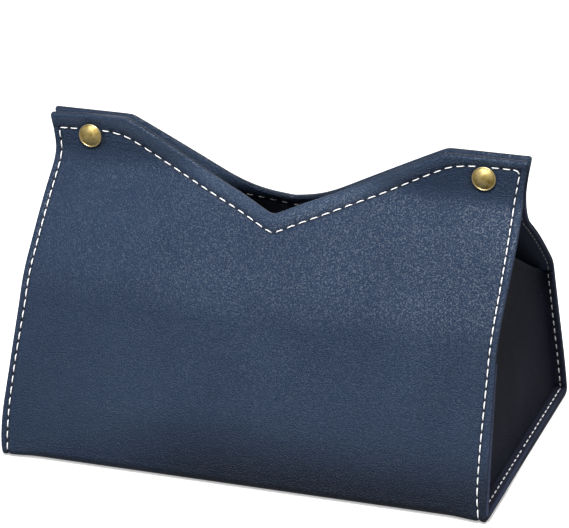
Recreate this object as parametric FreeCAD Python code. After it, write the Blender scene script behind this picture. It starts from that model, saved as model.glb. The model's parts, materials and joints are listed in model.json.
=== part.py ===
import FreeCAD, Part
import math
import os

# A leather tissue box cover. One lined sheet of leather makes the lower front, the base and the
# lower back. Two gussets close the sides. Above the gusset seams the sheet goes on as two flaps
# that lean together, with notched and hemmed lips that two snaps hold closed.
#
# Millimetres, +Z up, origin on the table under the middle of the base. X runs along the width,
# and the front faces -Y. The back mirrors the front, and the left mirrors the right.

# Overall sizes
width = 212.0               # from side edge to side edge
depth = 136.5               # over the rounded folds of the base
seam_height = 63.0          # from the table to the bend line, where the gusset seams end
flap_rise = 71.5            # from the bend line to the top of the closed lips

# Sheets
leather = 1.3               # outer leather of the wrap and the flaps
lining = 0.7                # lining everywhere, and the skived leather that is turned in at a hem
gusset_leather = 1.1        # softer leather of the two gussets
board = 1.0                 # stiffener in the base

# Outline from the side
fold_radius = 5.0           # outside of the folds along the base
seam_depth = 100.0          # over the outer faces at the bend line
shoulder_radius = 38.0      # outside, from the lower panel round to the slope of the flap
neck_radius = 13.0          # outside, from the slope up into the lip
lip_height = 18.0           # upright part of the flap, above the neck
lip_gap = 2.8               # between the inner faces of the closed lips

# Flap edges
notch_width = 140.4         # between the shoulders of the notch, along the top of the lip
notch_drop = 31.0           # of the lowest point of the notch, below the top of the lip
notch_round = 4.0           # at the lowest point of the notch
hem_turn = 13.0             # width of the leather turned in along the lip and the notch
hem_round = 0.6             # of the turned edge, on both faces
waist = 2.3                 # how far the side edges draw in beside the snaps
waist_radius = 75.0         # of that hollow
waist_drop = 16.5           # of its deepest point, below the top of the lip

# Gussets
flange = 4.2                # width of the edges turned outwards and sewn
gusset_rise = 27.0          # of the middle of the free top edge, over the bend line
gusset_setback = 1.0        # of the seams' ends, below the bend line
butt_gap = 0.2              # between the edges of linings that meet

# Base board
board_setback = 1.0         # from the folds and from the gussets

# Snaps, along their axis from front to back
snap_inset = 18.7           # of the snap's axis, from the side edge
snap_drop = 9.6             # of the snap's axis, below the top of the lip
cap_diameter = 10.5
cap_height = 1.9            # of the dome, over the leather
cap_edge = 0.7              # height of the cap's rim
shank_diameter = 3.0        # rivet of the cap, through the front lip
rivet_flare = 0.5           # spread of the rivet's end, over the socket's plate
rivet_end = 0.25            # thickness of that end
hole_clearance = 0.15       # round each shank, in leather, lining and metal
socket_diameter = 9.0
socket_plate = 0.5          # floor of the socket
socket_mouth = 0.35         # thickness of the rim that keeps the spring in
spring_wire = 0.5           # thickness of the spring ring
spring_opening = 50.0       # degrees, gap in the spring ring
stud_plate_diameter = 8.0
stud_plate = 0.5
stud_head_diameter = 4.2
stud_neck_diameter = 3.4
stud_head = 0.45            # length of the head, past the neck
stud_clearance = 0.3        # round the stud's head, so that it leaves the socket freely
snap_gap = 0.2              # between the stud's plate and the socket, and past the stud's tip
post_diameter = 2.0         # post of the back cap, inside the stud
post_depth = 1.1            # how far the post reaches into the stud
back_cap_diameter = 9.0
back_cap_height = 0.9
back_cap_bevel = 0.5        # round the back cap's face

overrun = 10.0              # how far each cut runs past what it cuts
touching = 0.0001           # nearness at which an edge counts as lying on a face

side_ways = FreeCAD.Vector(1, 0, 0)
back_ways = FreeCAD.Vector(0, 1, 0)
origin = FreeCAD.Vector(0, 0, 0)
upright = 0.0
underneath = -math.pi / 2
height = seam_height + flap_rise
gusset_peak = seam_height + gusset_rise
half_width = width / 2
inside = leather + lining
lip_face = lip_gap / 2 + inside


def facing(lean):
    """The direction that a front face looks in when it leans back by this angle."""
    return FreeCAD.Vector(0, -math.cos(lean), math.sin(lean))


def running(lean):
    """The direction up along a front face that leans back by this angle."""
    return FreeCAD.Vector(0, math.sin(lean), math.cos(lean))


def tangent_lean(start, end, reach):
    """Lean of the line whose distances from a point on one side and one on the other add to reach."""
    way = end - start
    return math.atan2(way.y, way.z) + math.asin(reach / way.Length)


def turn(centre, radius, first, last):
    """Three places on a bend, each with its facing; a hollow bend has a negative radius."""
    leans = (first, (first + last) / 2, last)
    return [(centre + facing(lean) * radius, facing(lean)) for lean in leans]


def straight(start, end, lean):
    """The two ends of a flat stretch, each with its facing."""
    return [(start, facing(lean)), (end, facing(lean))]


# Outer face of the front, seen from the side
bend_line = FreeCAD.Vector(0, -seam_depth / 2, seam_height)
fold_centre = FreeCAD.Vector(0, fold_radius - depth / 2, fold_radius)
panel_lean = tangent_lean(fold_centre, bend_line, fold_radius)
shoulder_centre = bend_line - facing(panel_lean) * shoulder_radius
neck_centre = FreeCAD.Vector(0, -lip_face - neck_radius, height - lip_height)
slope_lean = tangent_lean(shoulder_centre, neck_centre, shoulder_radius + neck_radius)
lip_top = FreeCAD.Vector(0, -lip_face, height)
fold = turn(fold_centre, fold_radius, underneath, panel_lean)
shoulder = turn(shoulder_centre, shoulder_radius, panel_lean, slope_lean)
neck = turn(neck_centre, -neck_radius, slope_lean, upright)


def panel_path(end):
    """Half of the base, its fold and the lower panel up to a place on it."""
    base = straight(origin, fold[0][0], underneath)
    return [base, fold, straight(fold[-1][0], end, panel_lean)]


def flap_path():
    """The flap from the bend line to the top of its lip."""
    slope = straight(shoulder[-1][0], neck[0][0], slope_lean)
    return [shoulder, slope, neck, straight(neck[-1][0], lip_top, upright)]


def inset_edges(path, inset):
    """The lines and arcs of a path, moved inwards through the sheet."""
    edges = []
    for places in path:
        points = [point - face * inset for point, face in places]
        curve = Part.LineSegment if len(points) == 2 else Part.Arc
        edges.append(curve(*points).toShape())
    return edges


def layer(path, near, far):
    """The part of the sheet between two insets, right across the width."""
    outer = inset_edges(path, near)
    inner = inset_edges(path, far)
    ends = [Part.makeLine(outer[i].Vertexes[i].Point, inner[i].Vertexes[i].Point) for i in (0, -1)]
    face = Part.Face(Part.Wire(Part.sortEdges(outer + inner + ends)[0]))
    face.translate(side_ways * -half_width)
    return face.extrude(side_ways * width)


def mirrored(shape, normal):
    return shape.mirror(origin, normal)


def both_halves(shape):
    """A half with its mirror image behind it, as one solid."""
    return shape.fuse(mirrored(shape, back_ways)).removeSplitter()


def spun(points, place, opening=0):
    """A round piece about a snap's axis, from lines and arcs of (radius, way forwards) places."""
    edges = []
    for corners in points:
        spots = [FreeCAD.Vector(radius, -forwards, 0) for radius, forwards in corners]
        curve = Part.LineSegment if len(spots) == 2 else Part.Arc
        edges.append(curve(*spots).toShape())
    piece = Part.Face(Part.Wire(edges)).revolve(origin, back_ways, 360 - opening)
    piece.translate(place)
    return Part.Solid(piece)


def outline(*corners):
    """Straight sides from corner to corner and back to the first."""
    return [(corners[i - 1], corners[i]) for i in range(len(corners))]


# Places on the flap, in a plane square to the mean lean of its slope and lip
notch_lean = (slope_lean + upright) / 2
notch_bottom = neck[0][0] - running(slope_lean) * (
    (neck[0][0].z - height + notch_drop) / math.cos(slope_lean))


def notch_height(point):
    return (point - notch_bottom).dot(running(notch_lean))


lip_level = notch_height(lip_top)
hem_level = notch_height(lip_top - running(upright) * hem_turn)
notch_side = math.hypot(notch_width / 2, lip_level)
notch_rise = lip_level / (notch_width / 2)


def through_flap(corners):
    """A cut through the flap with this outline of (across, up) corners."""
    spots = [notch_bottom + side_ways * across + running(notch_lean) * up for across, up in corners]
    face = Part.Face(Part.makePolygon(spots + spots[:1]))
    face.translate(facing(notch_lean) * -depth)
    return face.extrude(facing(notch_lean) * (depth + depth))


def notch():
    """The opening between the flap's shoulders, rounded at its lowest point."""
    above = lip_level + overrun
    across = above / notch_rise
    wedge = through_flap([(-across, above), (0, 0), (across, above)])
    lowest = [edge for edge in wedge.Edges
              if all(abs(vertex.X) < notch_round for vertex in edge.Vertexes)]
    return wedge.makeFillet(notch_round, lowest)


def hem_zone(gap):
    """Everything above the edge of the turned-in leather, or a gap below that edge."""
    drop = (hem_turn + gap) * notch_side / (notch_width / 2)
    level = hem_level - gap
    corner = (level + drop) / notch_rise
    above = lip_level + overrun
    far = half_width + overrun
    return through_flap([(-far, above), (-far, level), (-corner, level), (0, -drop),
                         (corner, level), (far, level), (far, above)])


def waist_cuts():
    """The hollows of the side edges beside the snaps."""
    start = FreeCAD.Vector(half_width + waist_radius - waist, -depth, height - waist_drop)
    right = Part.makeCylinder(waist_radius, depth + depth, start, back_ways)
    return [right, mirrored(right, side_ways)]


snap_height = height - snap_drop
snap_places = {
    "right": FreeCAD.Vector(half_width - snap_inset, 0, snap_height),
    "left": FreeCAD.Vector(snap_inset - half_width, 0, snap_height),
}


def snap_holes(diameter):
    """Holes through one lip for the shanks of both snaps."""
    radius = diameter / 2 + hole_clearance
    return [Part.makeCylinder(radius, depth, place - back_ways * depth, back_ways)
            for place in snap_places.values()]


def rim_edges(sheet):
    """Edges of a flap along its lip and its notch, on its outer and its inner face."""
    above = Part.makeBox(width, depth, overrun, FreeCAD.Vector(-half_width, -depth / 2, height))
    cuts = Part.makeCompound([notch(), above])
    faces = []
    for inset in (0, inside):
        face = Part.Wire(inset_edges(flap_path(), inset)).extrude(side_ways * width)
        face.translate(side_ways * -half_width)
        faces.append(face)
    sides = Part.makeCompound(faces)
    rim = []
    for edge in sheet.Edges:
        middle = Part.Vertex(edge.valueAt((edge.FirstParameter + edge.LastParameter) / 2))
        if max(shape.distToShape(middle)[0] for shape in (cuts, sides)) < touching:
            rim.append(edge)
    return rim


def flap_leather(shank):
    """Front flap: the outer leather, its turned-in and rounded hem, and holes for the snaps."""
    skin = layer(flap_path(), 0, leather)
    turned = layer(flap_path(), leather, inside).common(hem_zone(0))
    sheet = skin.fuse(turned).cut(notch()).removeSplitter()
    sheet = sheet.makeFillet(hem_round, rim_edges(sheet))
    return sheet.cut(waist_cuts() + snap_holes(shank))


def flap_lining():
    """Front flap: the lining below the turned-in hem."""
    return layer(flap_path(), leather, inside).cut([hem_zone(butt_gap)] + waist_cuts())


def wrap_leather():
    return both_halves(layer(panel_path(bend_line), 0, leather))


board_half_length = half_width - flange - gusset_leather - lining - lining - board_setback
board_half_depth = -fold_centre.y - lining - board_setback


def board_block(margin):
    """The base board, or the pocket of lining that covers it by this margin."""
    half_length = board_half_length + margin
    half_depth = board_half_depth + margin
    corner = FreeCAD.Vector(-half_length, -half_depth, leather)
    return Part.makeBox(2 * half_length, 2 * half_depth, board + margin, corner)


def wrap_lining():
    """The lining of the wrap, raised over the base board."""
    sheet = both_halves(layer(panel_path(bend_line), leather, inside))
    return sheet.fuse(board_block(lining)).cut(board_block(0)).removeSplitter()


def gusset_outline(inset):
    """The house shape of a gusset, this far in from the wrap's outer face."""
    end = bend_line - running(panel_lean) * gusset_setback
    front = inset_edges(panel_path(end), inset)
    back = [mirrored(edge, back_ways) for edge in front]
    peak = FreeCAD.Vector(0, 0, gusset_peak)
    roof = [Part.makeLine(side[-1].Vertexes[-1].Point, peak) for side in (front, back)]
    return Part.Face(Part.Wire(Part.sortEdges(front + back + roof)[0]))


def gusset():
    """Right gusset: a panel with flanges turned outwards along the base and both seams."""
    fold_line = half_width - flange
    tray = gusset_outline(inside)
    tray.translate(side_ways * (fold_line - gusset_leather))
    tray = tray.extrude(side_ways * (gusset_leather + flange))
    hollow = gusset_outline(inside + gusset_leather)
    flange_top = bend_line.z - gusset_setback - gusset_leather
    hollow.translate(side_ways * fold_line)
    hollow = hollow.extrude(side_ways * (flange + overrun))
    corner = FreeCAD.Vector(fold_line, -depth, flange_top)
    above = Part.makeBox(flange + overrun, depth + depth, gusset_peak, corner)
    return tray.cut([hollow, above])


def gusset_lining():
    """Right gusset: the lining on its inner face."""
    plate = gusset_outline(inside + butt_gap)
    plate.translate(side_ways * (half_width - flange - gusset_leather - lining))
    return plate.extrude(side_ways * lining)


# The snaps, with places along their axis counted forwards from midway between the lips
front_inner = lip_gap / 2
socket_floor = front_inner - socket_plate
rivet_tip = socket_floor - rivet_end
socket_face = stud_plate + snap_gap - front_inner
stud_face = stud_plate - front_inner
stud_tip = rivet_tip - snap_gap


def snap_cap(place):
    """Domed cap whose rivet goes through the front lip and spreads inside the socket."""
    shank = shank_diameter / 2
    flare = shank + rivet_flare
    rim = cap_diameter / 2
    crown = cap_height - cap_edge
    ball = (rim ** 2 + crown ** 2) / (2 * crown)
    half_turn = math.asin(rim / ball) / 2
    top = lip_face + cap_height
    edge = (rim, lip_face + cap_edge)
    middle = (ball * math.sin(half_turn), top - ball * (1 - math.cos(half_turn)))
    sides = outline((0, top), (0, rivet_tip), (flare, rivet_tip), (flare, socket_floor),
                    (shank, socket_floor), (shank, lip_face), (rim, lip_face), edge)[1:]
    return spun(sides + [(edge, middle, (0, top))], place)


def socket_radii():
    """Radii of the socket's mouth, of the groove for the spring and of its outside."""
    mouth = stud_head_diameter / 2 + stud_clearance
    groove = mouth + spring_wire + hole_clearance
    return mouth, groove, socket_diameter / 2


def snap_socket(place):
    """Cup on the inside of the front lip, with a grooved mouth for the stud."""
    mouth, groove, outside = socket_radii()
    hole = shank_diameter / 2 + hole_clearance
    groove_face = socket_face + socket_mouth
    return spun(outline((hole, front_inner), (hole, socket_floor), (groove, socket_floor),
                        (groove, groove_face), (mouth, groove_face), (mouth, socket_face),
                        (outside - socket_mouth, socket_face), (outside, groove_face),
                        (outside, front_inner)), place)


def socket_spring(place):
    """Open ring of square wire in the groove of the socket, against its mouth."""
    near = socket_radii()[0]
    far = near + spring_wire
    face = socket_face + socket_mouth
    back = face + spring_wire
    section = outline((near, face), (far, face), (far, back), (near, back))
    return spun(section, place, spring_opening)


def snap_stud(place):
    """Plate on the inside of the back lip with a headed knob, hollow for the post."""
    head = stud_head_diameter / 2
    neck_radius_here = stud_neck_diameter / 2
    bore = post_diameter / 2 + hole_clearance
    plate = stud_plate_diameter / 2
    head_start = stud_tip - stud_head
    bore_end = post_depth + snap_gap - front_inner
    tip_corner = stud_head / 2
    return spun(outline((0, bore_end), (bore, bore_end), (bore, -front_inner), (plate, -front_inner),
                        (plate, stud_face), (neck_radius_here, stud_face),
                        (neck_radius_here, head_start), (head, head_start + tip_corner),
                        (head - tip_corner, stud_tip), (0, stud_tip)), place)


def back_cap(place):
    """Low cap on the outside of the back lip, with the post that holds the stud."""
    post = post_diameter / 2
    rim = back_cap_diameter / 2
    tip = front_inner - post_depth
    top = lip_face + back_cap_height
    piece = spun(outline((0, tip), (post, tip), (post, lip_face), (rim, lip_face),
                         (rim, top - back_cap_bevel), (rim - back_cap_bevel, top), (0, top)), place)
    return mirrored(piece, back_ways)


def build():
    """Every sub-part by name."""
    nodes = {
        "wrap_leather": wrap_leather(),
        "wrap_lining": wrap_lining(),
        "base_board": board_block(0),
        "right_gusset": gusset(),
        "right_gusset_lining": gusset_lining(),
        "front_flap_leather": flap_leather(shank_diameter),
        "front_flap_lining": flap_lining(),
        "back_flap_leather": mirrored(flap_leather(post_diameter), back_ways),
        "back_flap_lining": mirrored(flap_lining(), back_ways),
    }
    for name in ("gusset", "gusset_lining"):
        nodes["left_" + name] = mirrored(nodes["right_" + name], side_ways)
    makers = {"snap_cap": snap_cap, "snap_socket": snap_socket, "socket_spring": socket_spring,
              "snap_stud": snap_stud, "snap_back_cap": back_cap}
    for side, place in snap_places.items():
        for name, maker in makers.items():
            nodes[side + "_" + name] = maker(place)
    return nodes


os.makedirs("parts", exist_ok=True)
for node_name, node_shape in build().items():
    node_shape.exportStep("parts/" + node_name + ".step")
    print(node_name, "solids", len(node_shape.Solids), "volume", round(node_shape.Volume, 1),
          "valid", node_shape.isValid())
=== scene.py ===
import json
import math

import bmesh
import bpy
import numpy as np
from mathutils import Matrix, Vector


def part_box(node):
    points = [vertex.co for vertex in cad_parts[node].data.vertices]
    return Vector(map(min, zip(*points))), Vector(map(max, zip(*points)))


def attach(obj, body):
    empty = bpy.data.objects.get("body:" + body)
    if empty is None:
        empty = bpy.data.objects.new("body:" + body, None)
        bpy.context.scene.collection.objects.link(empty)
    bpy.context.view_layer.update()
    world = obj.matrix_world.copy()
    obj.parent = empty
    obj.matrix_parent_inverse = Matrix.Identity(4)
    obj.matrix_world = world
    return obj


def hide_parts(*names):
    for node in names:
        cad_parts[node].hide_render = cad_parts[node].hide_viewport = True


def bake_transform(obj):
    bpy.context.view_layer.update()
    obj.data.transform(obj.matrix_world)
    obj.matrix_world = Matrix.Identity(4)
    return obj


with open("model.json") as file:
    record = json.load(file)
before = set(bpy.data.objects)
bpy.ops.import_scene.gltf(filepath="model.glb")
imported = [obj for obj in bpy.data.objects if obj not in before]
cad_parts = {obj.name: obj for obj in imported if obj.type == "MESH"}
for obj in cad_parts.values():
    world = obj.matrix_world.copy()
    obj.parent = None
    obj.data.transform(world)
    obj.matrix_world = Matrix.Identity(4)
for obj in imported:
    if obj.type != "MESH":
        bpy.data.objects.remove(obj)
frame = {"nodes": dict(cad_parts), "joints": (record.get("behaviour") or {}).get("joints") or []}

MM = 0.001
FRONT, BACK = -1, 1
LEFT, RIGHT = -1, 1
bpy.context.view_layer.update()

# Sizes that the frame gives
half_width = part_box("wrap_leather")[1].x
half_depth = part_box("wrap_leather")[1].y
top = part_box("front_flap_leather")[1].z
bend_up = frame["joints"][0]["pos_m"][2]
cap_low, cap_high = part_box("right_snap_cap")
snap_across = (cap_low.x + cap_high.x) / 2
snap_drop = top - (cap_low.z + cap_high.z) / 2
board_low, board_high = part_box("base_board")
board_thick = board_high.z - board_low.z
gusset_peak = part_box("right_gusset")[1].z

# The sheets
leather = 1.3 * MM
lining = 0.7 * MM
inside = leather + lining
lining_gap = 0.03 * MM
gusset_leather = 1.1 * MM
flange = 4.5 * MM
lip_out = 3.4 * MM
fold_radius = 5.0 * MM

# The notched top and its hem
notch_half = 70.0 * MM
notch_drop = 34.8 * MM
notch_ease = 1.2 * MM
notch_slope = notch_drop / notch_half
hem_turn = 13.0 * MM
hem_width = 7.7 * MM
hem_puff = 0.7 * MM
side_puff = 0.2 * MM
corner_ease = 1.4 * MM
lining_drop = 13.05 * MM

# The front's hem seam: places across, its distance from the notched edge there, and the places
# around a place that are averaged, all in mm
hem_places = [-106, -82, -72, -57, -47, -37, -17, 18, 43, 63, 73, 83, 106]
hem_course = [6.7, 7.1, 8.7, 9.2, 8.3, 7.9, 8.1, 7.8, 6.6, 6.1, 5.6, 4.3, 4.3]
hem_around = np.linspace(-5, 5, 11)

# The sewing. Its pace is a share of the pitch, at shares of the seam's length.
side_margin = 2.4 * MM
stitch_pitch = 4.8 * MM
stitch_length = 3.7 * MM
thread_width = 0.52 * MM
thread_height = 0.44 * MM
pace_places = [0, 0.3, 0.37, 0.63, 0.7, 1]
pace = [1.04, 0.93, 1.08, 1.08, 0.9, 0.94]

# Grid lines of the sheets, in mm from a side edge and from the notched edge
leather_ends = [0, 0.08, 0.22, 0.42, 0.7, 1.05, 1.4, 1.7, 1.95, 2.2, 2.45, 2.7, 2.95, 3.2, 3.45,
                3.7, 3.95, 4.25, 4.7, 5.4, 6.3, 7.4, 8.6, 10]
leather_drops = [14.2, 13.5, 13.02, 12.75, 12.45, 12, 11.2, 10.4, 9.6, 9, 8.5, 8.1, 7.7, 7.3, 6.9,
                 6.4, 5.9, 5.3, 4.6, 3.9, 3.1, 2.5, 1.9, 1.4, 0.95, 0.6, 0.32, 0.12, 0.02, 0]
lining_ends = [0, 0.2, 0.6, 1.2, 2, 3, 4, 5.5, 7, 8.5, 10]
lining_drops = [16, 15, 14.2, 13.6, 13.2, 13.05]
leather_step = 1.5 * MM
lining_step = 3.0 * MM

# The area lights: name, place, size and power
lights = (("key", (0.12, -0.52, 1.0), 0.3, 13.0),
          ("front", (-0.06, -0.88, 0.78), 0.4, 4.5),
          ("above", (0.25, -0.1, 1.4), 0.9, 9.8),
          ("low", (-1.0, -0.9, 0.12), 0.8, 0.4),
          ("behind", (-0.3, 1.3, 0.7), 0.8, 5.0))
sky_strength = 0.25
floor_glow = 0.4


def soft_step(low, high, value):
    """0 below low, 1 above high, and a cubic ease between them."""
    share = np.clip((value - low) / (high - low), 0, 1)
    return share * share * (3 - 2 * share)


def bell(value, reach):
    """Gaussian bump: 1 at zero, falling to 1/e at reach."""
    return np.exp(-(value / reach) ** 2)


def touching_lean(out, up, reach):
    """Lean of the straight run that touches two circles on its opposite sides, or a circle and a
    point. Their centres lie out and up apart, and their radii add up to reach."""
    return math.atan2(-out, up) + math.asin(reach / math.hypot(out, up))


def drawn(x, up):
    """Place across once the sides are drawn in. The base stands wider than the cut sheet and the
    bend narrower, evenly between; the waist under the lips is a bell, and above it the lips flare.
    The left foot turns in towards the table with the square of its nearness."""
    even = 1.2 * MM
    let_out = 3.0 * MM * np.clip(1 - up / (64 * MM), 0, 1)
    waist_up = 118.4 * MM
    waist = 1.0 * MM * bell(up - waist_up, 13.9 * MM)
    flare = 1.3 * MM * np.clip((up - waist_up) / (15 * MM), 0, 1)
    left_foot = (x < 0) * 2.4 * MM * np.clip(1 - up / (24 * MM), 0, 1) ** 2
    pull = even - let_out + waist - flare + left_foot
    return x - np.sign(x) * pull * (x / half_width) ** 2


class Half:
    """One half of the cover, front or back. A place on it is x across, s along the sheet from the
    middle of the base, n out from its outer face, and d inside the notched edge."""

    def __init__(self, side, bend_out, shoulder, neck, lip_rise, setback):
        """The profile runs from the middle of the base to the top of the lip. Its lean goes in
        straight steps from flat through the panel and the slope to upright, so each fold is an arc,
        and the place is the running sum of sine and cosine of the lean."""
        fold_out, fold_up = bend_out - (half_depth - fold_radius), bend_up - fold_radius
        panel = touching_lean(fold_out, fold_up, fold_radius)
        arc_out = bend_out - shoulder * math.cos(panel)
        arc_up = bend_up - shoulder * math.sin(panel)
        out, up = lip_out + neck - arc_out, top - lip_rise - arc_up
        slope = touching_lean(out, up, shoulder + neck)
        panel_run = math.sqrt(fold_out ** 2 + fold_up ** 2 - fold_radius ** 2)
        slope_run = math.sqrt(out ** 2 + up ** 2 - (shoulder + neck) ** 2)
        flat = -math.pi / 2
        runs = [half_depth - fold_radius, fold_radius * (panel - flat), panel_run,
                shoulder * (slope - panel), slope_run, neck * slope, lip_rise]
        knots = np.concatenate([[0], np.cumsum(runs)])
        (self.flat_end, self.fold_end, self.bend_at, self.slope_start, self.slope_end,
         self.lip_start, self.lip_end) = knots[1:]
        samples = 12001
        self.along = np.linspace(0, knots[-1], samples)
        self.lean = np.interp(self.along, knots, [flat, flat, panel, panel, slope, slope, 0, 0])
        middle = (self.lean[1:] + self.lean[:-1]) / 2
        step = np.diff(self.along)
        self.out = np.concatenate([[0], np.cumsum(-np.sin(middle) * step)])
        self.up = np.concatenate([[0], np.cumsum(np.cos(middle) * step)])
        self.side, self.bend_out, self.seam_end = side, bend_out, self.bend_at - setback

    def swell(self, x, s):
        """How far the soft sheet stands out of its folded profile: the lower panel is crowned by
        half a sine wave that leans towards the foot, the slope by a smaller one that is fuller at
        the back, slow waves across both fade at the base and the lip, and the fold at the base is
        crisper near its ends."""
        panel = np.clip((s - self.fold_end) / (self.bend_at - self.fold_end), 0, 1)
        slope = np.clip((s - self.slope_start) / (self.lip_start - self.slope_start), 0, 1)
        middle = 1 - 0.6 * (x / half_width) ** 4
        panel_crown = 1.9 * MM * middle * np.sin(np.pi * panel ** 0.6)
        slope_crown = (0.5 * middle + 0.8 * (self.side == BACK)) * MM * np.sin(np.pi * slope)
        fade_in = soft_step(self.fold_end, self.fold_end + 25 * MM, s)
        fade_out = 1 - soft_step(self.slope_end, self.lip_start, s)
        waves = (0.22 * np.sin(52 * x + 31 * s + 0.6 * self.side)
                 + 0.16 * np.sin(-38 * x + 64 * s + 1.9)
                 + 0.12 * np.sin(95 * x - 22 * s + 2.6 * self.side)) * MM
        fold_middle = (self.flat_end + self.fold_end) / 2
        near_end = soft_step(half_width - 18 * MM, half_width - 2 * MM, np.abs(x))
        crisp = 1.3 * MM * bell(s - fold_middle, 2.1 * MM) * near_end
        return panel_crown + slope_crown + fade_in * fade_out * waves + crisp

    def point(self, x, s, n):
        """Point at a place: the profile is looked up at s, moved by n and the swell along its
        normal, and the sides are drawn in."""
        n = n + self.swell(x, s)
        lean = np.interp(s, self.along, self.lean)
        up = np.interp(s, self.along, self.up)
        y = self.side * (np.interp(s, self.along, self.out) + n * np.cos(lean))
        return np.stack(np.broadcast_arrays(drawn(x, up), y, up + n * np.sin(lean)), -1)

    def hem(self, x):
        """Distance of the hem seam from the notched edge. On the front it follows a hand's course,
        wide on the left arm of the notch and near to the edge at the right lip: straight runs
        between a few places, smoothed by their mean over 10 mm."""
        if self.side == BACK:
            return np.full_like(x, hem_width)
        near = x[..., None] / MM + hem_around
        return np.interp(near, hem_places, hem_course).mean(-1) * MM

    def margin(self, x, s):
        """Distance of the side seam from the edge. On the front it wanders: two bells on the left, a
        slow wave on the right that ends nearer to the edge."""
        if self.side == BACK:
            return np.full(np.broadcast(x, s).shape, side_margin)
        mm = s / MM
        left = 0.55 - 0.5 * bell(mm - 106, 18) + 0.2 * bell(mm - 184, 20)
        wave = 0.5 * np.cos(2 * np.pi * (mm - 88) / 107)
        right = 0.8 + wave - 0.6 * soft_step(198, 208, mm)
        above_base = soft_step(60, 80, mm)
        return side_margin + np.where(x < 0, left, right) * above_base * MM

    def edge(self, x, d):
        """Distance along the sheet of the line that runs d inside the notched edge. It is the lower
        of two lines, the level lip and the slanted side of the notch, with the corner between them
        eased more the further it is from the edge. The front's notch leans and sags a little, and
        its left lip is tilted."""
        uneven = self.side == FRONT
        across = x + uneven * (0.9 * MM - 0.21 * d)
        left_tilt = 0.2 * MM + (x + 87 * MM) / 17
        tilt = uneven * np.where(x < 0, left_tilt, -0.3 * MM)
        lip = self.lip_end + tilt - d
        sag = uneven * (0.85 * bell(x + 2 * MM, 10 * MM) + 1.35 * bell(x + 38 * MM, 20 * MM)) * MM
        notch_lean = uneven * 0.0115 * across
        arm = self.lip_end - notch_drop + notch_slope * np.hypot(across, notch_ease)
        slant = arm - sag - notch_lean - d * math.hypot(1, notch_slope)
        ease = 0.25 * MM + 0.1 * d
        return (lip + slant) / 2 - np.sqrt(((lip - slant) / 2) ** 2 + ease ** 2)


front_half = Half(FRONT, bend_out=46.8 * MM, shoulder=52.3 * MM, neck=12.8 * MM,
                  lip_rise=14.65 * MM, setback=1.0 * MM)
back_half = Half(BACK, bend_out=52.5 * MM, shoulder=21.8 * MM, neck=13.3 * MM,
                 lip_rise=21.4 * MM, setback=-3.0 * MM)


def columns(ends, step):
    """Places across a half: the given distances from each side edge, and even steps between."""
    side = half_width - np.array(ends) * MM
    count = 2 * int(round(side[-1] / step))
    between = np.linspace(-side[-1], side[-1], count + 1)[1:-1]
    return np.concatenate([-side, between, side[::-1]])


def grid_quads(rows, cols):
    """Corner numbers of the faces of a grid of points."""
    corner = (np.arange(rows - 1)[:, None] * cols + np.arange(cols - 1)).ravel()
    return np.stack([corner, corner + 1, corner + cols + 1, corner + cols], -1)


def tube_quads(number):
    """Corner numbers of the faces of tubes, from point numbers by tube, ring and place around."""
    after = np.roll(number, -1, axis=-1)
    return np.stack([number[..., :-1, :], after[..., :-1, :], after[..., 1:, :],
                     number[..., 1:, :]], -1).reshape(-1, 4)


def make_piece(name, points, faces, finish, plan=None, marks=None, sharp=50):
    """A mesh object from arrays of points and faces, with smooth shading but for edges sharper than
    an angle in degrees. plan is a flat place for each point, kept as the UV map, and marks are named
    numbers for each point."""
    mesh = bpy.data.meshes.new(name)
    mesh.from_pydata(points.tolist(), [], [list(f) for f in faces])
    if plan is not None:
        corners = np.zeros(len(mesh.loops), np.int32)
        mesh.loops.foreach_get("vertex_index", corners)
        flat = plan[corners].astype(np.float32).ravel()
        mesh.uv_layers.new(name="plan").data.foreach_set("uv", flat)
    for key, values in (marks or {}).items():
        mesh.attributes.new(key, "FLOAT", "POINT").data.foreach_set(
            "value", np.asarray(values, np.float32).ravel())
    shell = bmesh.new()
    shell.from_mesh(mesh)
    bmesh.ops.recalc_face_normals(shell, faces=shell.faces)
    shell.to_mesh(mesh)
    shell.free()
    mesh.shade_smooth()
    mesh.set_sharp_from_angle(angle=math.radians(sharp))
    mesh.materials.append(finish)
    piece = bpy.data.objects.new(name, mesh)
    bpy.context.scene.collection.objects.link(piece)
    return piece


def thick_sheet(name, quads, outer, inner, finish, plan, marks):
    """Closed sheet from two layers of points with the same faces. The inner layer's faces are
    turned round, and each open edge of the layers is closed by a face between them."""
    count = len(outer)
    edges = np.stack([quads, np.roll(quads, -1, axis=1)], -1).reshape(-1, 2)
    low, high = edges.min(1), edges.max(1)
    first, uses = np.unique(low * count + high, return_index=True, return_counts=True)[1:]
    start, end = edges[first[uses == 1]].T
    rim = np.stack([end, start, start + count, end + count], -1)
    faces = np.concatenate([quads, quads[:, ::-1] + count, rim])
    twice = {key: np.tile(np.ravel(values), 2) for key, values in marks.items()}
    return make_piece(name, np.concatenate([outer, inner]), faces, finish,
                      np.concatenate([plan, plan]), twice)


def half_sheet(name, half, x, s, across, outer, inner, finish, marks):
    """Closed sheet on a grid of a half, between two heights over its profile. Its flat plan is x
    and s, and across is where each x ends up."""
    layers = [half.point(across, s, n).reshape(-1, 3) for n in (outer, inner)]
    plan = np.stack([x, s], -1).reshape(-1, 2)
    return thick_sheet(name, grid_quads(*x.shape), *layers, finish, plan, marks)


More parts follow.
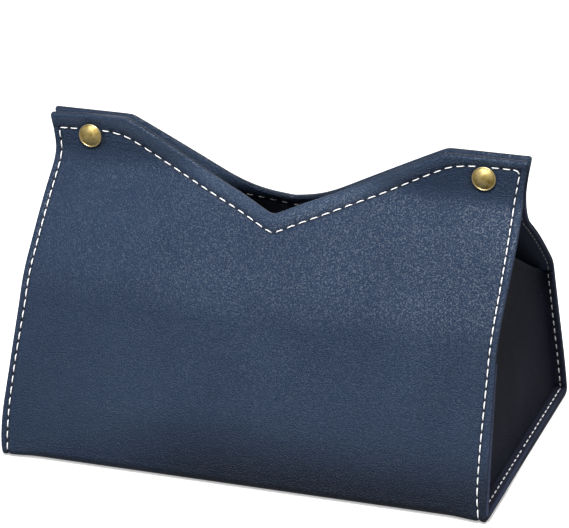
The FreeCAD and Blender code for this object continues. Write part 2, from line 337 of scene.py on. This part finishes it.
def half_grid(half, cols, drops):
    """Grid of a half: x, s, the distance d from the notched edge and e from the side edge. The lower
    rows are level, the top ones run at the given drops below the edge, moved with the hem seam,
    and those between change evenly from level to notched."""
    base_rows, fold_rows, panel_rows, slope_rows = 22, 15, 40, 46
    seam = half.hem(cols)
    drops = np.array(drops)[:, None] * MM
    turned = seam + (drops - hem_width) * (hem_turn - seam) / (hem_turn - hem_width)
    d_top = np.where(drops < hem_width, drops * seam / hem_width,
                     np.where(drops < hem_turn, turned, drops))
    s_top = half.edge(cols, d_top)
    low, high = half.flat_end - 2 * MM, half.fold_end + 2 * MM
    level = np.concatenate([np.linspace(0, low, base_rows, endpoint=False),
                            np.linspace(low, high, fold_rows, endpoint=False),
                            np.linspace(high, half.bend_at, panel_rows)])
    share = np.linspace(0, 1, slope_rows + 2)[1:-1, None]
    s = np.concatenate([np.broadcast_to(level[:, None], (len(level), len(cols))),
                        half.bend_at + share * (s_top[:1] - half.bend_at), s_top])
    far = 1.0
    d = np.full(s.shape, far)
    d[-len(d_top):] = d_top
    x = np.broadcast_to(cols, s.shape)
    return x, s, d, half_width - np.abs(x)


def edge_round(distance, radius, flat=0.12):
    """Share of the thickness that a rounded edge has at a distance from it: a quarter circle."""
    return flat + (1 - flat) * np.sqrt(1 - (1 - np.clip(distance / radius, 0, 1)) ** 2)


def leather_faces(half, x, s, d, e):
    """Heights of the leather's outer and inner face over the profile, and the marks for its finish.
    The hem is puffed by a skewed half sine between the edge and its seam, the seams lie in grooves,
    the snaps press round seats, the turned hem doubles the thickness and the edges are rounded. The
    lightening mark holds the lighter cut side edges and a painted highlight on the hem's crest; the
    seam mark is all painted shade: in the stitch grooves, above the hem seam, along the notched
    edge, in a ring round each snap and over the foot."""
    seam, margin = half.hem(x), half.margin(x, s)
    in_hem = d < seam
    share = np.clip(d / seam, 0, 1)
    side_share = np.clip(e / margin, 0, 1)
    puff = hem_puff * np.sin(np.pi * share ** 0.5) + side_puff * np.sin(np.pi * side_share)

    hem_groove = bell(d - seam, 0.8 * MM) * soft_step(margin - 1.1 * MM, margin, e)
    side_groove = bell(e - margin, 0.75 * MM) * soft_step(-0.5 * MM, 0.8 * MM, d - seam)
    groove = np.maximum(hem_groove, side_groove)
    under = 1 - soft_step(half.flat_end, half.fold_end, s)
    outer_groove = (0.38 + 0.4 * under) * MM * groove
    inner_groove = 0.15 * MM * groove

    radius = np.hypot(np.abs(x) - snap_across, half.lip_end - s - snap_drop)
    seat = soft_step(5.0 * MM, 8.5 * MM, radius)
    seat_depth = 0.12 * MM
    outer = (puff * (1 - under) - outer_groove) * seat - seat_depth * (1 - seat)
    below_hem = soft_step(hem_turn - 0.5 * MM, hem_turn, d)
    inner = -inside + lining * below_hem + inner_groove * seat
    rounded = edge_round(e, 0.6 * MM) * edge_round(d, 1.5 * MM)
    middle, thick = (outer + inner) / 2, (outer - inner) / 2 * rounded

    # Painted highlight along the hem's crest; the cut side edges are lighter too.
    crest = 0.6 * bell(share - 0.4, 0.3) * in_hem
    worn_edge = 0.8 * bell(e, 0.3 * MM)
    # Painted shade just above the hem seam, and a thin line of painted shade along the notched edge.
    hem_shade = 0.3 * bell(share - 0.9, 0.15) * in_hem
    top_shade = bell(d, 0.4 * MM)
    # Painted shadow in a ring round each snap cap.
    ring = bell(radius - 5.2 * MM, 0.9 * MM)
    # Painted shade over the foot: full on the base and the fold, fading out 27 mm up the panel, and
    # fading out from the middle to 85 mm left of it.
    foot = 1 - soft_step(half.fold_end, half.fold_end + 27 * MM, s)
    wear_and_painted_light = 0.95 * foot * soft_step(-85 * MM, 0, x)
    # Painted shade in the stitch grooves; the seam mark gathers all this painted shade.
    sewn = np.maximum.reduce([groove, hem_shade, top_shade]) * seat
    marks = {"wear": np.maximum(crest, worn_edge),
             "seam": np.clip(np.maximum.reduce([sewn, ring, wear_and_painted_light]), 0, 1)}
    return middle + thick, middle - thick, marks


def leather_half(name, half, finish):
    """Outer leather of a half, from the middle of the base up over the bend to the notched lip. Its
    top corners are rounded by a quarter circle."""
    x, s, d, e = half_grid(half, columns(leather_ends, leather_step), leather_drops)
    outer, inner, marks = leather_faces(half, x, s, d, e)
    near = np.clip(corner_ease - d, 0, corner_ease)
    rounding = corner_ease - np.sqrt(corner_ease ** 2 - near ** 2)
    across = x - np.sign(x) * rounding * soft_step(12 * MM, 2 * MM, e)
    return half_sheet(name, half, x, s, across, outer, inner, finish, marks)


def lining_half(name, half, finish):
    """Lining of a half, up to the turned hem. Over the base board it is raised by the board."""
    x, s, d, e = half_grid(half, columns(lining_ends, lining_step), lining_drops)
    beside, ramp = 1.2 * MM, 1.5 * MM
    board = (soft_step(0, ramp, board_high.x + beside - np.abs(x))
             * soft_step(0, ramp, board_high.y + beside - s))
    board_gap = 0.02 * MM
    edge, blunt = 0.3 * MM, 0.4
    rounded = edge_round(e, edge, blunt) * edge_round(d - lining_drop, edge, blunt)
    middle = -leather - lining_gap - lining / 2 - (board_thick + board_gap) * board
    thick = lining / 2 * rounded
    return half_sheet(name, half, x, s, x, middle + thick, middle - thick, finish, {})


def gusset_panel(inset, hand, peak, cols):
    """Grid of a house-shaped side panel, this far in from the wrap's outer face: the places along
    both halves, the shares across and up, and y and z. Each row runs straight from the front sheet
    to the back one, and all rows are stretched evenly up to the roof line, which peaks over the
    middle."""
    fold_rows, panel_rows = 9, 30
    ridge_ease = 0.03
    runs, edges = [], []
    for half in (front_half, back_half):
        s = np.concatenate([np.linspace(half.flat_end, half.fold_end, fold_rows),
                            np.linspace(half.fold_end, half.seam_end, panel_rows)[1:]])
        runs.append(s)
        edges.append(half.point(np.full(s.shape, hand * (half_width - flange)), s, -inset))
    front, back = edges
    across = np.linspace(-1, 1, cols)
    y = front[:, 1:2] + (back[:, 1:2] - front[:, 1:2]) * (across + 1) / 2
    level = front[:, 2:] + (back[:, 2:] - front[:, 2:]) * (across + 1) / 2
    centre = (front[-1, 1] + back[-1, 1]) / (front[-1, 1] - back[-1, 1])
    fall = np.where(across < centre, (centre - across) / (1 + centre),
                    (across - centre) / (1 - centre))
    roof = level[-1] + (peak - level[-1]) * (1 + ridge_ease - np.hypot(fall, ridge_ease))
    z = level[0] + (level - level[0]) * (roof - level[0]) / (level[-1] - level[0])
    share = (front[:, 2] - front[0, 2]) / (front[-1, 2] - front[0, 2])
    return runs, across, share, y, z


def gusset_bow(across, share):
    """How far a side panel is drawn inwards: a crown that is widest above the middle, and a slack
    wave."""
    c, r = across[None, :], share[:, None]
    crown = 1.5 * MM * (1 - c ** 2) * np.sin(np.pi * np.clip(r, 0, 1) * 0.72)
    slack = 0.35 * MM * np.sin(5.2 * c + 2.2 * r) * (1 - c ** 2) * np.sin(np.pi * r * 0.8)
    return crown + slack


def gusset(name, hand, finish):
    """Side gusset: a bowed panel that turns through a small bend into a flange along the front, the
    base and the back. The bend and the flange are one section carried round the panel's edge. Along
    the front the flange stands out a little past the wrap, less towards the bend."""
    fold_x = half_width - flange
    bend = 0.5 * MM
    bend_steps = flange_steps = 6
    cols = 61
    inset = inside + gusset_leather + bend
    (front_s, back_s), across, share, y, z = gusset_panel(inset, hand, gusset_peak, cols)
    rows = len(front_s)
    bow = gusset_bow(across, share)
    number = np.arange(rows * cols).reshape(rows, cols)
    border = np.concatenate([number[::-1, 0], number[0, 1:-1], number[:, -1]])
    border_y, border_z = y.ravel()[border], z.ravel()[border]
    along = np.concatenate([front_s[::-1], np.abs(y[0, 1:-1]), back_s])
    ahead = np.clip(-border_y / (0.6 * half_depth), 0, 1)
    past = (0.9 - 0.5 * np.clip(border_z / bend_up, 0, 1)) * MM
    reach = half_width + ahead * past
    turn = np.linspace(0, math.pi / 2, bend_steps + 1)[1:, None]
    run = np.linspace(0, 1, flange_steps + 1)[1:, None]
    on_front = (border_y < 0)[:, None]
    layers = []
    for face, radius in ((0, bend), (gusset_leather, bend + gusset_leather - 0.2 * MM)):
        level = inside + gusset_leather - face
        centre = fold_x - face + radius
        x = hand * np.concatenate([centre - radius * np.cos(turn) + 0 * reach,
                                   centre + run * (reach - centre)])
        n = np.concatenate([-level - radius + radius * np.sin(turn),
                            np.full((flange_steps, 1), -level)]) + 0 * reach
        strip = np.where(on_front, front_half.point(x, along, n), back_half.point(x, along, n))
        panel = np.stack([drawn(hand * (fold_x - face - bow), z), y, z], -1)
        layers.append(np.concatenate([panel.reshape(-1, 3), strip.reshape(-1, 3)]))
    steps = bend_steps + flange_steps
    strip_number = rows * cols + np.arange(steps * len(border)).reshape(steps, -1)
    chain = np.concatenate([border[None], strip_number])
    strip_quads = np.stack([chain[:-1, :-1], chain[1:, :-1], chain[1:, 1:], chain[:-1, 1:]], -1)
    quads = np.concatenate([grid_quads(rows, cols), strip_quads.reshape(-1, 4)])
    plan = layers[0][:, 1:]
    # Marks for its finish: the cut edges of the panel's top and of the flange's end are lighter; the
    # seam mark, which is painted shade on the wrap, is zero here.
    wear = np.zeros(len(plan))
    wear[number[-1]] = 1
    wear[-2 * len(border):] = 1
    return thick_sheet(name, quads, *layers, finish, plan, {"wear": wear, "seam": 0 * wear})


def gusset_cloth(name, hand, finish):
    """Lining of a side gusset: the panel's own grid, laid against its inner face."""
    inset, below_peak, cols = inside + 0.4 * MM, 1.2 * MM, 41
    across, share, y, z = gusset_panel(inset, hand, gusset_peak - below_peak, cols)[1:]
    x = half_width - flange - gusset_leather - lining_gap - gusset_bow(across, share)
    layers = [np.stack([drawn(hand * (x - depth), z), y, z], -1).reshape(-1, 3)
              for depth in (0, lining)]
    return thick_sheet(name, grid_quads(*y.shape), *layers, finish, layers[0][:, 1:], {})


def seam_path(half):
    """Line of the seam on a half, in x and s: up one side edge, round a corner, along the hem and
    down the other side. Each corner is a parabola between the two runs."""
    left_ease, right_ease = 1.2 * MM, 2.8 * MM
    side_count, hem_count, corner_count = 300, 400, 12
    near_sides = np.array([-0.98, 0.98]) * half_width
    left_top, right_top = half.edge(near_sides, half.hem(near_sides))
    run = np.linspace(0, 1, side_count)
    left_s, right_s = run * (left_top - left_ease), (1 - run) * (right_top - right_ease)
    left_x = -half_width + half.margin(-half_width, left_s)
    right_x = half_width - half.margin(half_width, right_s)
    hem_x = np.linspace(left_x[-1] + left_ease, right_x[0] - right_ease, hem_count)
    hem_s = half.edge(hem_x, half.hem(hem_x))
    t = np.linspace(0, 1, corner_count + 2)[1:-1]
    x = np.concatenate([left_x, left_x[-1] + left_ease * t ** 2, hem_x,
                        right_x[0] - right_ease * (1 - t) ** 2, right_x])
    s = np.concatenate([left_s, hem_s[0] - (hem_s[0] - left_s[-1]) * (1 - t) ** 2, hem_s,
                        hem_s[-1] - (hem_s[-1] - right_s[0]) * t ** 2, right_s])
    return x, s


def stitches(name, half, outwards, keep_clear, finish):
    """Row of stitches on one face of a half. Each is a thread that rises out of its hole, runs over
    the sheet and dips again: an ellipse carried along a short stretch of the seam path, thinner at
    both ends. On the inside of the sides, above the gussets, the thread is drawn thin and tight.
    Those under a snap's plate are left out."""
    rings, around = 6, 8
    path_x, path_s = seam_path(half)
    length = np.concatenate([[0], np.cumsum(np.hypot(np.diff(path_x), np.diff(path_s)))])

    def on_path(at):
        return np.interp(at, length, path_x), np.interp(at, length, path_s)

    spacing = stitch_pitch * np.interp(length / length[-1], pace_places, pace)
    order = np.concatenate([[0], np.cumsum(np.diff(length) / spacing[1:])])
    centre = np.interp(np.arange(int(order[-1])) + 0.5, order, length)
    centre_x, centre_s = on_path(centre)
    from_snap = np.hypot(np.abs(centre_x) - snap_across, half.lip_end - snap_drop - centre_s)
    clear = from_snap > keep_clear
    centre, centre_x, centre_s = (v[clear][:, None, None] for v in (centre, centre_x, centre_s))
    at_side = np.abs(centre_x) > half_width - 4 * MM
    tight = (not outwards) * (centre_s > half.seam_end) * at_side
    total = len(centre)

    u = np.linspace(-1, 1, rings)
    rng = np.random.default_rng(11 + half.side)
    reach = stitch_length / 2 * (1 + 0.05 * rng.standard_normal(total))
    at = centre[:, 0] + u * reach[:, None] * (1 + 0.2 * tight[:, 0])
    x, s = on_path(at)
    step = 0.3 * MM
    (next_x, next_s), (last_x, last_s) = on_path(at + step), on_path(at - step)
    run_x, run_s = next_x - last_x, next_s - last_s
    norm = np.hypot(run_x, run_s)

    angle = np.linspace(0, 2 * np.pi, around, endpoint=False)
    girth = (1 - 0.7 * u ** 6)[None, :, None] * (1 - 0.5 * tight)
    sideways = thread_width / 2 * girth * np.cos(angle)
    arch = (0.56 * (1 - u ** 4) - 0.5)[None, :, None] * MM
    under = 1 - soft_step(half.flat_end, half.fold_end + 2 * MM, centre_s)
    sunk = 0.42 * MM * under * outwards
    rise = arch + thread_height / 2 * girth * np.sin(angle) - sunk
    on_gusset = centre_s < half.seam_end - 1 * MM
    n = rise if outwards else np.where(on_gusset, -inside - gusset_leather, -inside) - rise
    points = half.point(x[..., None] - (run_s / norm)[..., None] * sideways,
                        s[..., None] + (run_x / norm)[..., None] * sideways, n)
    number = np.arange(total * rings * around).reshape(total, rings, around)
    ends = np.concatenate([number[:, 0], number[:, -1, ::-1]])
    plan = np.stack(np.broadcast_arrays(angle / (2 * np.pi), (u[:, None] + 1) / 2), -1)
    return make_piece(name, points.reshape(-1, 3), tube_quads(number).tolist() + ends.tolist(),
                      finish, np.tile(plan.reshape(-1, 2), (total, 1)))


def revolved(name, profile, place, facing, finish, marks):
    """Turned piece: a profile of radius and height, carried round the axis through place. The first
    and last rings are closed by flat faces."""
    around = 72
    profile = np.array(profile) * MM
    angle = np.linspace(0, 2 * np.pi, around, endpoint=False)
    radius, height = profile[:, :1], profile[:, 1:]
    points = np.stack(np.broadcast_arrays(place[0] + radius * np.cos(angle),
                                          place[1] + facing * height + 0 * angle,
                                          place[2] + radius * np.sin(angle)), -1)
    number = np.arange(len(profile) * around).reshape(-1, around)
    ends = [number[0].tolist(), number[-1].tolist()]
    shown = {key: np.repeat(values, around) for key, values in marks.items()}
    return make_piece(name, points.reshape(-1, 3), tube_quads(number).tolist() + ends, finish,
                      marks=shown, sharp=40)


def snap_cap(name, facing, hand, finish, rim, crown, edge):
    """Pressed cap on a lip, its sizes in mm: a dome that falls as the square of the radius to a
    shallow valley, then a rolled rim, an arc from the valley over and down to the leather. The roll
    is marked lighter: bared brass and a painted highlight."""
    roll, middle, foot, lowest = 0.3, 0.08, -0.06, -0.08
    dome_r = np.concatenate([[middle], np.linspace(0.5, rim - 2 * roll, 12)])
    dome_h = crown - (crown - edge) * (dome_r / (rim - 2 * roll)) ** 2
    turn = np.linspace(math.radians(160), math.radians(-75), 14)
    roll_r, roll_h = rim - roll + roll * np.cos(turn), edge - 0.12 + roll * np.sin(turn)
    r = np.concatenate([dome_r, roll_r, [rim - 0.9]])
    h = np.maximum(np.concatenate([dome_h, roll_h, [foot]]), lowest)
    # Lighter on the roll: bared brass and a painted highlight.
    bright = np.concatenate([0 * dome_r, np.clip(np.sin(turn) + 0.35, 0, 1), [0]])
    place = (hand * snap_across, facing * lip_out, top - snap_drop)
    return revolved(name, np.stack([r, h], -1), place, facing, finish, {"bright": bright})


class Finish:
    """A procedural finish: nodes are added by kind and their inputs joined or set by name."""

    def __init__(self, name, **shader):
        self.material = bpy.data.materials.new(name)
        self.material.use_nodes = True
        self.tree = self.material.node_tree
        self.shader = self.tree.nodes["Principled BSDF"]
        self.join(self.shader, shader)

    def join(self, node, inputs):
        """Links each input to a socket, or sets it to a value."""
        for key, value in inputs.items():
            socket = node.inputs[key.replace("_", " ") if isinstance(key, str) else key]
            if isinstance(value, bpy.types.NodeSocket):
                self.tree.links.new(value, socket)
            else:
                socket.default_value = value

    def add(self, kind, inputs=None, **settings):
        """A new node with its settings and inputs."""
        node = self.tree.nodes.new("ShaderNode" + kind)
        for key, value in settings.items():
            setattr(node, key, value)
        self.join(node, inputs or {})
        return node

    def place(self):
        return self.add("TexCoord").outputs["Object"]

    def plan(self):
        return self.add("UVMap", uv_map="plan").outputs["UV"]

    def mark(self, name):
        return self.add("Attribute", attribute_name=name).outputs["Fac"]

    def stretched(self, vector, scale, turn=0.0):
        return self.add("Mapping", {"Vector": vector, "Scale": scale,
                                    "Rotation": (0.0, 0.0, turn)}).outputs[0]

    def noise(self, vector, scale, detail, rough=0.5):
        return self.add("TexNoise", {"Vector": vector, "Scale": scale, "Detail": detail,
                                     "Roughness": rough}).outputs["Fac"]

    def wave(self, vector, scale, direction, distortion=0.0):
        return self.add("TexWave", {"Vector": vector, "Scale": scale, "Distortion": distortion},
                        bands_direction=direction).outputs["Fac"]

    def ramp(self, value, low, high, start=0.0, end=1.0):
        return self.add("MapRange", {"Value": value, "From_Min": low, "From_Max": high,
                                     "To_Min": start, "To_Max": end}).outputs["Result"]

    def math(self, operation, first, second):
        return self.add("Math", {0: first, 1: second}, operation=operation).outputs[0]

    def mix(self, share, first, second):
        return self.add("Mix", {0: share, 6: first, 7: second}, data_type="RGBA").outputs[2]

    def bump(self, height, strength, distance):
        normal = self.add("Bump", {"Height": height, "Strength": strength, "Distance": distance})
        self.join(self.shader, {"Normal": normal.outputs["Normal"]})


def leather_finish(name, deep, tone, wear_and_highlight_tone, specular):
    """Pebbled leather: small cells with rounded tops, their outlines bent by noise, a little lighter
    or darker, over slow changes of tone and gloss. It is lighter where the lightening mark lies:
    the cut edges and a painted highlight on the hem's crest. Where the seam mark lies it is darker
    with painted shade: in the stitch grooves, along the hem and the notched edge, round the snaps
    and at the foot."""
    f = Finish(name, Specular_IOR_Level=specular)
    place = f.place()
    noise = f.add("TexNoise", {"Vector": place, "Scale": 1600.0, "Detail": 1.0}).outputs["Color"]
    shift = f.add("VectorMath", {0: noise, 3: 0.2 * MM}, operation="SCALE").outputs[0]
    bent = f.add("VectorMath", {0: place, 1: shift}, operation="ADD").outputs[0]
    cells = f.add("TexVoronoi", {"Vector": bent, "Scale": 1800.0, "Smoothness": 0.03},
                  feature="SMOOTH_F1").outputs["Distance"]
    pebble = f.ramp(cells, 0.62, 0.12)
    light = f.ramp(f.noise(place, 1500.0, 1.0), 0.46, 0.6)
    fine = f.noise(place, 4200.0, 2.0)
    slow = f.noise(place, 26.0, 4.0, 0.55)
    # Lighter where the lightening mark lies: the cut edges, and a painted highlight on the hem's
    # crest.
    wear_and_painted_light = f.math("MULTIPLY", f.mark("wear"), f.ramp(slow, 0.3, 0.7, 0.2, 0.5))
    shade = (0.3 * deep[0], 0.3 * deep[1], 0.3 * deep[2], 1)
    body = f.mix(f.ramp(pebble, 0.15, 0.75), deep, tone)
    body = f.mix(f.math("MULTIPLY", f.math("MULTIPLY", light, pebble), 0.14), body, wear_and_highlight_tone)
    body = f.mix(f.ramp(slow, 0.35, 0.7, 0.0, 0.1), body, wear_and_highlight_tone)
    body = f.mix(wear_and_painted_light, body, wear_and_highlight_tone)
    # Painted shade: towards a darker navy where the seam mark lies.
    body = f.mix(f.math("MULTIPLY", f.mark("seam"), 0.8), body, shade)
    gloss = f.math("ADD", f.ramp(pebble, 0.0, 1.0, 0.46, 0.42),
                   f.ramp(slow, 0.3, 0.7, 0.05, -0.05))
    f.join(f.shader, {"Base_Color": body, "Roughness": gloss})
    height = f.math("ADD", f.math("MULTIPLY", pebble, 0.8), f.math("MULTIPLY", fine, 0.12))
    f.bump(height, 1.0, 0.47 * MM)
    return f.material


def cloth_finish(name, dark, light):
    """Plain-woven lining: two crossing waves on the flat plan make the threads, with slubs of
    noise."""
    f = Finish(name, Roughness=0.9, Specular_IOR_Level=0.1, Sheen_Weight=0.05, Sheen_Roughness=0.5)
    plan = f.plan()
    weave = f.math("MULTIPLY", f.wave(plan, 340.0, "X", 0.6), f.wave(plan, 340.0, "Y", 0.6))
    slub = f.ramp(f.noise(f.place(), 420.0, 3.0), 0.3, 0.7)
    f.join(f.shader, {"Base_Color": f.mix(f.math("MULTIPLY", slub, weave), dark, light)})
    f.bump(weave, 0.5, 0.15 * MM)
    return f.material


def thread_finish(name, tone, shade):
    """Twisted sewing thread: slanting strands round each stitch on its own plan, with painted shade
    in the grooves between them, stronger in patches.
    """
    f = Finish(name, Roughness=0.72, Sheen_Weight=0.2)
    strand = f.wave(f.stretched(f.plan(), (2.0, 6.0, 1.0), 0.5), 1.0, "Y")
    # Painted shade between the strands, its strength varied in patches.
    strand_shade_patches = f.ramp(f.noise(f.place(), 60.0, 3.0), 0.2, 0.8, 0.35, 0.7)
    painted_strand_shade = f.math("MULTIPLY", f.ramp(strand, 0.6, 0.0), strand_shade_patches)
    f.join(f.shader, {"Base_Color": f.mix(painted_strand_shade, tone, shade)})
    f.bump(strand, 0.5, 0.1 * MM)
    return f.material


def brass_finish(name, tone, dark, bright):
    """Aged brass: a cloudy brown patina over the dome, and a lighter rolled rim: bared brass and a
    painted highlight.
    """
    f = Finish(name, Metallic=1.0)
    place = f.place()
    cloud = f.noise(place, 330.0, 5.0, 0.6)
    speck = f.noise(place, 2400.0, 2.0)
    rim = f.mark("bright")
    body = f.mix(f.ramp(cloud, 0.42, 0.66), tone, dark)
    body = f.mix(f.ramp(speck, 0.55, 0.75, 0.0, 0.35), body, dark)
    # Lighter on the rolled rim: bared brass and a painted highlight.
    body = f.mix(rim, body, bright)
    gloss = f.math("SUBTRACT", f.ramp(cloud, 0.3, 0.7, 0.42, 0.58), f.math("MULTIPLY", rim, 0.12))
    f.join(f.shader, {"Base_Color": body, "Roughness": gloss})
    f.bump(f.math("ADD", cloud, f.math("MULTIPLY", speck, 0.3)), 0.18, 0.2 * MM)
    return f.material


def board_finish(name, tone, dark):
    """Grey board: pressed fibres as stretched noise, with a few dark flecks."""
    f = Finish(name, Roughness=0.92)
    place = f.place()
    fibre = f.noise(f.stretched(place, (500.0, 1500.0, 900.0)), 1.0, 3.0)
    fleck = f.noise(place, 900.0, 2.0)
    body = f.mix(f.ramp(fibre, 0.3, 0.7), tone, dark)
    f.join(f.shader, {"Base_Color": f.mix(f.ramp(fleck, 0.68, 0.74), body, dark)})
    f.bump(fibre, 0.25, 0.2 * MM)
    return f.material


def steel_finish(name, tone, dark):
    """Drawn spring wire: fine lines of tone and gloss."""
    f = Finish(name, Metallic=1.0)
    lines = f.noise(f.stretched(f.place(), (900.0, 6000.0, 900.0)), 1.0, 3.0)
    f.join(f.shader, {"Base_Color": f.mix(f.ramp(lines, 0.3, 0.7), tone, dark),
                      "Roughness": f.ramp(lines, 0.3, 0.7, 0.25, 0.45)})
    f.bump(lines, 0.1, 0.1 * MM)
    return f.material


navy = leather_finish("navy_leather", (0.01, 0.0225, 0.052, 1), (0.0168, 0.0362, 0.079, 1),
                      (0.08, 0.122, 0.19, 1), specular=0.33)
# The gusset's leather: a darker, greyer copy of the navy, set to look like the navy in shade, so its
# colour holds painted shade.
shaded_navy_gusset = leather_finish("shaded_navy_gusset_leather", (0.015, 0.016, 0.028, 1),
                           (0.024, 0.026, 0.045, 1), (0.065, 0.085, 0.15, 1), specular=0.07)
cloth = cloth_finish("lining_cloth", (0.045, 0.056, 0.1, 1), (0.098, 0.117, 0.205, 1))
thread = thread_finish("white_thread", (0.96, 0.96, 0.97, 1), (0.84, 0.84, 0.86, 1))
brass = brass_finish("aged_brass", (0.76, 0.6, 0.26, 1), (0.36, 0.25, 0.06, 1),
                     (0.8, 0.67, 0.37, 1))
steel = steel_finish("spring_steel", (0.62, 0.62, 0.63, 1), (0.4, 0.4, 0.41, 1))
board = board_finish("grey_board", (0.4, 0.385, 0.35, 1), (0.26, 0.245, 0.22, 1))


def bend_over(piece):
    """Bakes a piece's place into its mesh."""
    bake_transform(piece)


for half, flap in ((front_half, "front"), (back_half, "back")):
    hide = leather_half(flap + "_leather", half, navy)
    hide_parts("wrap_leather", flap + "_flap_leather")
    layer = lining_half(flap + "_lining", half, cloth)
    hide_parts("wrap_lining", flap + "_flap_lining")
    sewn = [stitches(flap + "_outer_stitches", half, True, 5.2 * MM, thread),
            stitches(flap + "_inner_stitches", half, False, 5.4 * MM, thread)]
    for piece in [hide, layer, *sewn]:
        bend_over(piece)

for hand, word in ((LEFT, "left"), (RIGHT, "right")):
    panel = gusset(word + "_side_gusset", hand, shaded_navy_gusset)
    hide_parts(word + "_gusset")
    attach(panel, "box")
    layer = gusset_cloth(word + "_side_lining", hand, cloth)
    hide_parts(word + "_gusset_lining")
    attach(layer, "box")
    cap = snap_cap(word + "_cap", FRONT, hand, brass, rim=5.2, crown=2.2, edge=0.75)
    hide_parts(word + "_snap_cap")
    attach(cap, "front_flap")
    low = snap_cap(word + "_back_cap", BACK, hand, brass, rim=4.5, crown=0.9, edge=0.6)
    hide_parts(word + "_snap_back_cap")
    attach(low, "back_flap")

carried = {"base_board": board}
for word in ("left", "right"):
    carried.update({word + "_snap_socket": brass, word + "_snap_stud": brass,
                    word + "_socket_spring": steel})
for node, finish in carried.items():
    mesh = frame["nodes"][node].data
    mesh.materials.clear()
    mesh.materials.append(finish)


def studio():
    """Pale floor, soft area lights that point at the cover, and a light sky."""
    scene = bpy.context.scene
    pale = Finish("pale_floor", Base_Color=(0.88, 0.88, 0.88, 1), Roughness=0.9,
                  Emission_Color=(1, 1, 1, 1), Emission_Strength=floor_glow)
    mesh = bpy.data.meshes.new("floor")
    reach, level = 4.0, -0.3 * MM
    mesh.from_pydata([(-reach, -reach, level), (reach, -reach, level), (reach, reach, level),
                      (-reach, reach, level)], [], [(0, 1, 2, 3)])
    mesh.materials.append(pale.material)
    floor = bpy.data.objects.new("floor", mesh)
    scene.collection.objects.link(floor)
    floor.visible_diffuse = floor.visible_glossy = False
    middle = Vector((0, 0, 0.06))
    for name, place, size, power in lights:
        light = bpy.data.lights.new(name, "AREA")
        light.size, light.energy = size, power
        lamp = bpy.data.objects.new(name, light)
        lamp.location = place
        lamp.rotation_euler = (middle - Vector(place)).to_track_quat("-Z", "Y").to_euler()
        scene.collection.objects.link(lamp)
    scene.world = scene.world or bpy.data.worlds.new("sky")
    scene.world.use_nodes = True
    sky = scene.world.node_tree.nodes["Background"]
    sky.inputs["Color"].default_value = (1, 1, 1, 1)
    sky.inputs["Strength"].default_value = sky_strength
    scene.view_settings.view_transform = "Standard"


def aim_camera():
    """Camera fitted to the photograph: azimuth, elevation, roll, distance and focal length in
    pixels, turned by the small angle that puts the fitted centre in its place without a shift."""
    azimuth, elevation, roll, distance, focal = 0.33136, 0.38716, -0.00877, 1.34116, 3137.64
    wide, high, centre_x, centre_y = 569.0, 528.0, 286.25, 269.38
    sensor = 36.0
    target = Vector((-0.4 * MM, 0, 72.26 * MM))
    back = Vector((math.sin(azimuth) * math.cos(elevation),
                   -math.cos(azimuth) * math.cos(elevation), math.sin(elevation)))
    right = (-back).cross(Vector((0, 0, 1))).normalized()
    up = right.cross(-back)
    right, up = (right * math.cos(roll) + up * math.sin(roll),
                 up * math.cos(roll) - right * math.sin(roll))
    ahead = (-back + right * ((wide / 2 - centre_x) / focal)
             + up * ((centre_y - high / 2) / focal)).normalized()
    right = (right - ahead * right.dot(ahead)).normalized()
    up = right.cross(ahead)
    data = bpy.data.cameras.new("camera")
    data.sensor_fit, data.sensor_width, data.lens = "HORIZONTAL", sensor, focal / wide * sensor
    camera = bpy.data.objects.new("camera", data)
    turn = Matrix((right, up, -ahead)).transposed().to_4x4()
    camera.matrix_world = Matrix.Translation(target + back * distance) @ turn
    bpy.context.scene.collection.objects.link(camera)
    bpy.context.scene.camera = camera


studio()
aim_camera()
